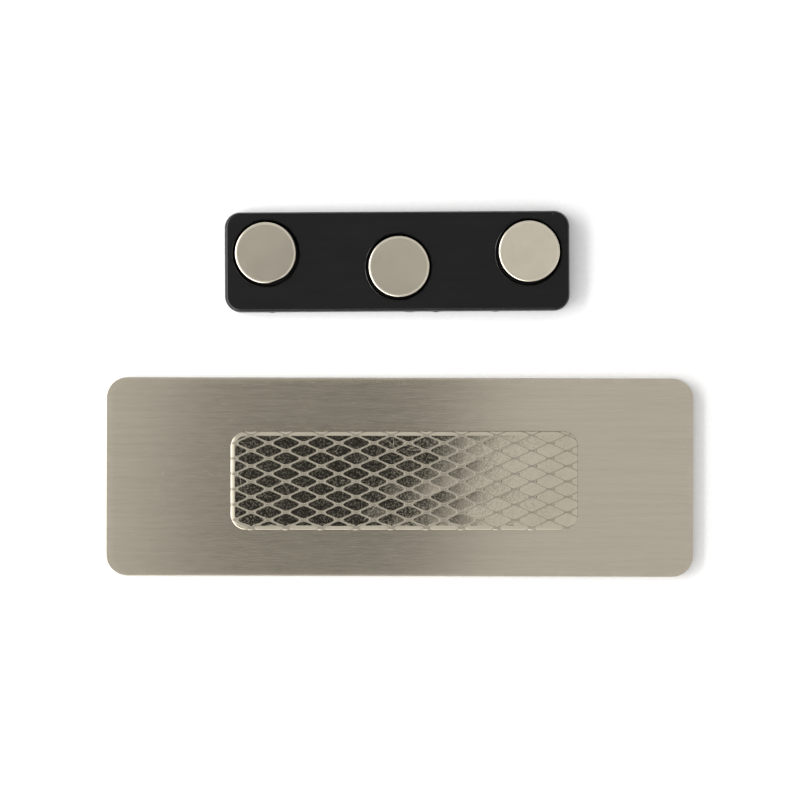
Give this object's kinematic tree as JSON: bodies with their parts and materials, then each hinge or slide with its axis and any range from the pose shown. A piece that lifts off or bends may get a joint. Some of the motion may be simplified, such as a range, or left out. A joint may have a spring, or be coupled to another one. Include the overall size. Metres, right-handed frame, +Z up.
{
  "type": "magnetic name badge",
  "caption": "Flat brushed steel badge plate lying back side up with a net-patterned counter plate, beside the loose plastic bar whose disc magnets hold it through cloth.",
  "frame": {"origin": "centre of the badge plate's front face, which lies on the surface", "axes": "+X along the plate, +Y across it towards the loose magnet bar, +Z up, from the front face towards the back"},
  "size_m": [0.0762, 0.0475, 0.0038],
  "materials": {
    "brushed_sheet": "brushed along its length, satin, broken edges",
    "foam_pad": "plain foam adhesive pad",
    "pressed_nickel": "nickel-plated pressed steel, finely grained on the diamonds, bright in the grooves",
    "black_moulding": "black moulded plastic, satin",
    "magnet_plating": "satin nickel plating"
  },
  "bodies": {
    "root": {"badge_plate": "brushed_sheet", "adhesive_pad": "foam_pad", "counter_plate": "pressed_nickel", "magnet_bar": "black_moulding", "magnet_left": "magnet_plating", "magnet_middle": "magnet_plating", "magnet_right": "magnet_plating"}
  },
  "joints": []
}
